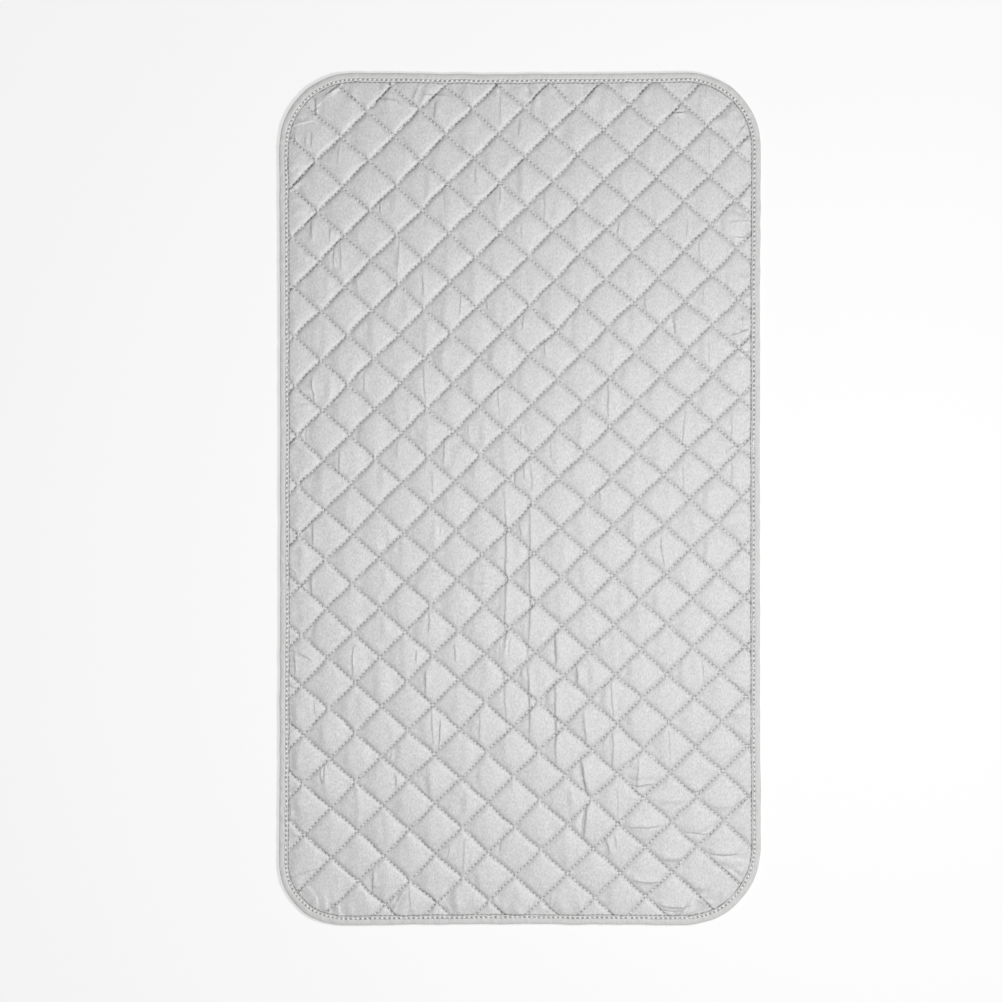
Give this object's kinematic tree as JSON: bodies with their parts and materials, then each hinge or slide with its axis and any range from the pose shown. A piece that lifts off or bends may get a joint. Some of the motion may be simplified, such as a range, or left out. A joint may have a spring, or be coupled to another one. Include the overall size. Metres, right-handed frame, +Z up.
{
  "type": "ironing pad",
  "caption": "Quilted ironing pad with rounded corners: coated face cloth over wadding and a backing, sewn in diamonds, edged with folded tape, and held to steel tops by corner magnets.",
  "frame": {"origin": "on the table, under the centre of the pad", "axes": "+X across the width, +Y along the length towards the end that is at the top of the picture, +Z up out of the face that is ironed on"},
  "size_m": [0.48, 0.85, 0.007],
  "materials": {
    "face_cloth": "silver-coated cotton with a soft sheen",
    "wadding": "soft white polyester and cotton wadding",
    "backing": "plain uncoated cotton",
    "tape": "woven silver-grey binding tape",
    "thread": "light grey sewing thread",
    "magnet": "nickel plate"
  },
  "bodies": {
    "root": {"backing_cloth": "backing", "binding_seam_thread": "thread", "corner_magnet_bottom_left": "magnet", "corner_magnet_bottom_right": "magnet", "corner_magnet_top_left": "magnet", "corner_magnet_top_right": "magnet", "edge_binding": "tape", "face_cloth": "face_cloth", "quilting_thread_falling_01": "thread", "quilting_thread_falling_02": "thread", "quilting_thread_falling_03": "thread", "quilting_thread_falling_04": "thread", "quilting_thread_falling_05": "thread", "quilting_thread_falling_06": "thread", "quilting_thread_falling_07": "thread", "quilting_thread_falling_08": "thread", "quilting_thread_falling_09": "thread", "quilting_thread_falling_10": "thread", "quilting_thread_falling_11": "thread", "quilting_thread_falling_12": "thread", "quilting_thread_falling_13": "thread", "quilting_thread_falling_14": "thread", "quilting_thread_falling_15": "thread", "quilting_thread_falling_16": "thread", "quilting_thread_falling_17": "thread", "quilting_thread_falling_18": "thread", "quilting_thread_falling_19": "thread", "quilting_thread_falling_20": "thread", "quilting_thread_falling_21": "thread", "quilting_thread_falling_22": "thread", "quilting_thread_falling_23": "thread", "quilting_thread_rising_01": "thread", "quilting_thread_rising_02": "thread", "quilting_thread_rising_03": "thread", "quilting_thread_rising_04": "thread", "quilting_thread_rising_05": "thread", "quilting_thread_rising_06": "thread", "quilting_thread_rising_07": "thread", "quilting_thread_rising_08": "thread", "quilting_thread_rising_09": "thread", "quilting_thread_rising_10": "thread", "quilting_thread_rising_11": "thread", "quilting_thread_rising_12": "thread", "quilting_thread_rising_13": "thread", "quilting_thread_rising_14": "thread", "quilting_thread_rising_15": "thread", "quilting_thread_rising_16": "thread", "quilting_thread_rising_17": "thread", "quilting_thread_rising_18": "thread", "quilting_thread_rising_19": "thread", "quilting_thread_rising_20": "thread", "quilting_thread_rising_21": "thread", "quilting_thread_rising_22": "thread", "wadding": "wadding"}
  },
  "joints": []
}
